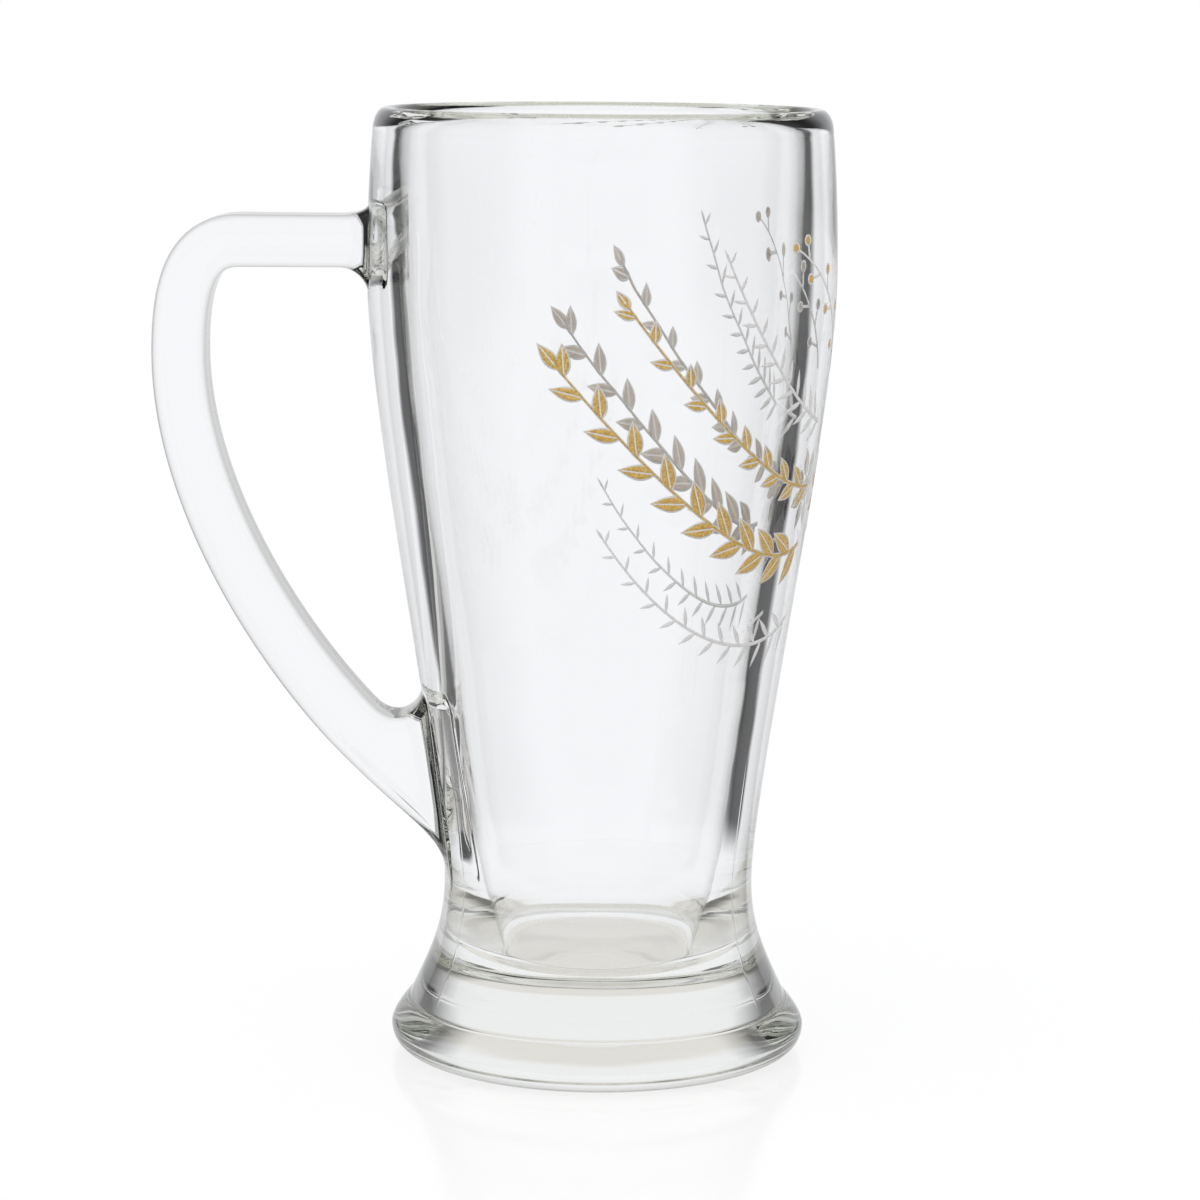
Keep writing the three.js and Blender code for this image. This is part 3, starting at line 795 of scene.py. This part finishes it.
def make_mug():
    vessel, handle = turned_vessel("mug_glass"), lofted_handle("handle_glass")
    mark_painted_edge_shade(vessel, vessel_painted_edge_shade)
    mark_painted_edge_shade(handle, lambda place: HANDLE_EDGE)
    glass = joined(vessel, handle)
    dress(glass, glass_material(), "glass", "bowl", "foot", "handle")


def make_print():
    gold = enamel_material("gold_enamel", *GOLD_ENAMEL)
    white = enamel_material("white_enamel", *WHITE_ENAMEL)
    leafy = {
        "laurel": (LAUREL_STEM, LAUREL_LEAVES, LAUREL_LEAF),
        "sprig": (SPRIG_STEM, SPRIG_LEAVES, SPRIG_LEAF),
    }
    bloom, ground = rosette("rosette")
    dress(bloom, gold, "gold_enamel", "gold_rosette")
    dress(ground, white, "white_enamel")
    for half, side in (("front", 1), ("back", -1)):
        for kind, (stem, count, form) in leafy.items():
            top, ground = leafy_branch(f"{kind}_{half}", stem, count, form, side)
            dress(top, gold, "gold_enamel", f"gold_{kind}_{half}")
            dress(ground, white, "white_enamel")
        top, ground = berry_sprig(f"berries_{half}", side)
        dress(top, gold, "gold_enamel", f"gold_berries_{half}")
        dress(ground, white, "white_enamel")
        for kind, stem in (("upper", UPPER_FERN_STEM), ("lower", LOWER_FERN_STEM)):
            frond = fern(f"fern_{kind}_{half}", stem, side)
            dress(frond, white, "white_enamel", f"white_fern_{kind}_{half}")


PAPER = (0.945, 0.951, 0.975, 1)  # white paper behind the mug
BLACK = (0, 0, 0, 1)
AMBIENT = (0.62, 0.62, 0.62, 1)  # plain light from all round
CEILING = (0.83, 0.81, 0.78, 1)  # tint of the light from higher up
CEILING_RISE = (0.3, 0.39)
# Brightness round the studio, in degrees from straight behind the mug, as reflections in the glass show it:
# white behind, dark wings, grey sides, a lamp on each side of the camera and a duller space between them
STUDIO_ROUND = [
    (0, 0.97), (40, 0.97), (45, 0.03), (60, 0.03), (67, 0.4),
    (118, 0.4), (138, 0.85), (155, 0.85), (166, 0.6), (180, 0.6),
]
# The same on the floor, which is pale in front of the mug too
FLOOR_ROUND = [*STUDIO_ROUND[:6], (138, 0.85), (180, 0.85)]
NEAR_MUG = (0.1, 0.15)  # metres from the axis: up to the first, the floor is pale all round
# The same higher up, where the wings are paler and fade out to both sides
UPPER_ROUND = [(0, 0.97), (33, 0.97), (50, 0.2), (58, 0.2), (76, 0.85), (120, 0.85), (180, 0.74)]
UPPER_RISE = (0.02, 0.1)


def seen_in_glass(tree, path):
    """A socket that is 1 for the camera and for what glass and gloss show."""
    shown = math_node(tree, "MAXIMUM", path.outputs["Is Glossy Ray"], path.outputs["Is Transmission Ray"])
    return math_node(tree, "MAXIMUM", path.outputs["Is Camera Ray"], shown)


def round_ramp(tree, bearing, tones):
    """A socket with the studio's brightness at a bearing in radians."""
    half_turns = math_node(tree, "DIVIDE", bearing, math.pi)
    return tone_ramp(tree, half_turns, [(degrees / 180, tone) for degrees, tone in tones])


def studio_tone(tree, path, place, tones):
    """Colour of the studio by direction: light that passes straight through the glass finds it white,
    and light turned back by a glass surface finds what stands round it."""
    parts = tree.nodes.new("ShaderNodeSeparateXYZ")
    tree.links.new(place, parts.inputs["Vector"])
    across = math_node(tree, "ABSOLUTE", parts.outputs["X"])
    bearing = math_node(tree, "ARCTAN2", across, parts.outputs["Y"])
    turned = math_node(tree, "GREATER_THAN", path.outputs["Glossy Depth"], 0.5)
    squares = [math_node(tree, "MULTIPLY", parts.outputs[axis], parts.outputs[axis]) for axis in "XY"]
    distance = math_node(tree, "SQRT", math_node(tree, "ADD", *squares))
    away = ranged(tree, distance, *NEAR_MUG, 0, 1)
    sharp = math_node(tree, "MULTIPLY", away, path.outputs["Is Singular Ray"])
    shown = math_node(tree, "MULTIPLY", turned, sharp)
    high = math_node(tree, "MULTIPLY", shown, ranged(tree, parts.outputs["Z"], *CEILING_RISE, 0, 1))
    light = mixed_colour(tree, high, PAPER, CEILING)
    over_wings = ranged(tree, parts.outputs["Z"], *UPPER_RISE, 0, 1)
    lower, upper = round_ramp(tree, bearing, tones), round_ramp(tree, bearing, UPPER_ROUND)
    around = mixed_colour(tree, mixed_colour(tree, over_wings, lower, upper), BLACK, light)
    in_glass = mixed_colour(tree, shown, PAPER, around)
    return mixed_colour(tree, path.outputs["Is Camera Ray"], in_glass, WHITE)


def make_world():
    """White for the camera, and the studio for what glass and gloss show."""
    world = bpy.data.worlds.new("studio")
    bpy.context.scene.world = world
    world.use_nodes = True
    tree = world.node_tree
    path = tree.nodes.new("ShaderNodeLightPath")
    place = tree.nodes.new("ShaderNodeTexCoord")
    tone = studio_tone(tree, path, place.outputs["Generated"], STUDIO_ROUND)
    colour = mixed_colour(tree, seen_in_glass(tree, path), AMBIENT, tone)
    tree.links.new(colour, tree.nodes["Background"].inputs["Color"])


FLOOR_SIZE = 6.0
FLOOR_DROP = 0.0002  # keeps the floor clear of the mug's underside
FLOOR_GLOW = 0.74  # share of the floor's white that doesn't depend on light, so that its shadow stays pale
FLOOR_GLOSS = 0.1
FLOOR_GLOSS_ROUGHNESS = 0.12
# Painted shadow: the floor's colour turns darker and warmer under the mug, within this reach of the axis,
# standing in for the light it lacks there.
PAINTED_SHADOW_UNDER_MUG = (0.79, 0.775, 0.745, 1)  # the floor gets less light under the mug
PAINTED_SHADOW_UNDER_MUG_REACH = (0.027, 0.036)


def make_floor():
    """A white floor with a pale lit shadow, a painted shadow under the mug, and a faint mirror image."""
    mesh = bpy.data.meshes.new("floor")
    corners = [(x * FLOOR_SIZE, y * FLOOR_SIZE, 0) for x, y in ((-1, -1), (1, -1), (1, 1), (-1, 1))]
    mesh.from_pydata(corners, [], [(0, 1, 2, 3)])
    floor = bpy.data.objects.new("floor", mesh)
    floor.location.z = -FLOOR_DROP
    bpy.context.scene.collection.objects.link(floor)
    material, tree, shader, output = new_material("white_floor")
    shader.inputs["Roughness"].default_value = 1.0
    shader.inputs["Specular IOR Level"].default_value = 0.0
    path = tree.nodes.new("ShaderNodeLightPath")
    place = tree.nodes.new("ShaderNodeNewGeometry")
    glow = tree.nodes.new("ShaderNodeEmission")
    distance = tree.nodes.new("ShaderNodeVectorMath")
    distance.operation = "LENGTH"
    tree.links.new(place.outputs["Position"], distance.inputs[0])
    # Painted shadow: the floor takes the darker colour under the mug.
    clear = ranged(tree, distance.outputs["Value"], *PAINTED_SHADOW_UNDER_MUG_REACH, 0, 1)
    open_floor = studio_tone(tree, path, place.outputs["Position"], FLOOR_ROUND)
    tone = mixed_colour(tree, clear, PAINTED_SHADOW_UNDER_MUG, open_floor)
    mirror = tree.nodes.new("ShaderNodeBsdfAnisotropic")
    tree.links.new(tone, glow.inputs["Color"])
    tree.links.new(tone, shader.inputs["Base Color"])
    tree.links.new(tone, mirror.inputs["Color"])
    mirror.inputs["Roughness"].default_value = FLOOR_GLOSS_ROUGHNESS
    lit = tree.nodes.new("ShaderNodeMixShader")
    tree.links.new(math_node(tree, "MULTIPLY", seen_in_glass(tree, path), FLOOR_GLOW), lit.inputs["Fac"])
    tree.links.new(shader.outputs["BSDF"], lit.inputs[1])
    tree.links.new(glow.outputs["Emission"], lit.inputs[2])
    gloss = tree.nodes.new("ShaderNodeMixShader")
    gloss.inputs["Fac"].default_value = FLOOR_GLOSS
    tree.links.new(lit.outputs["Shader"], gloss.inputs[1])
    tree.links.new(mirror.outputs["BSDF"], gloss.inputs[2])
    tree.links.new(gloss.outputs["Shader"], output.inputs["Surface"])
    mesh.materials.append(material)


LAMP_SPREAD = math.radians(70)
LAMP_ENERGY = 1.55
LAMP_AIM = (0.3, 0.45, -1.0)


def make_lamp():
    """One broad soft lamp from the upper left front."""
    lamp = bpy.data.lights.new("softbox", "SUN")
    lamp.angle = LAMP_SPREAD
    lamp.energy = LAMP_ENERGY
    obj = bpy.data.objects.new("softbox", lamp)
    obj.rotation_euler = Vector(LAMP_AIM).to_track_quat("-Z", "Y").to_euler()
    obj.visible_camera = False
    obj.visible_glossy = False
    obj.visible_transmission = False
    bpy.context.scene.collection.objects.link(obj)


CAMERA_PLACE = (0, -0.724, 0.201)
CAMERA_DIP = math.radians(8.96)
CAMERA_ROLL = math.radians(0.402)
CAMERA_SENSOR = 36
CAMERA_LENS = 115.35


def make_camera():
    """The photograph's view, from a little over the brim and looking slightly down, with a long lens."""
    camera = bpy.data.cameras.new("camera")
    camera.sensor_width = CAMERA_SENSOR
    camera.lens = CAMERA_LENS
    obj = bpy.data.objects.new("camera", camera)
    tilt = Matrix.Rotation(math.pi / 2 - CAMERA_DIP, 4, "X")
    roll = Matrix.Rotation(CAMERA_ROLL, 4, "Z")
    obj.matrix_world = Matrix.Translation(CAMERA_PLACE) @ tilt @ roll
    bpy.context.scene.collection.objects.link(obj)
    bpy.context.scene.camera = obj


def render_settings():
    scene = bpy.context.scene
    scene.view_settings.view_transform = "Standard"
    scene.cycles.max_bounces = 32
    scene.cycles.transmission_bounces = 32
    scene.cycles.glossy_bounces = 16
    scene.cycles.transparent_max_bounces = 32


make_mug()
make_print()
make_world()
make_floor()
make_lamp()
make_camera()
render_settings()

bpy.context.view_layer.update()
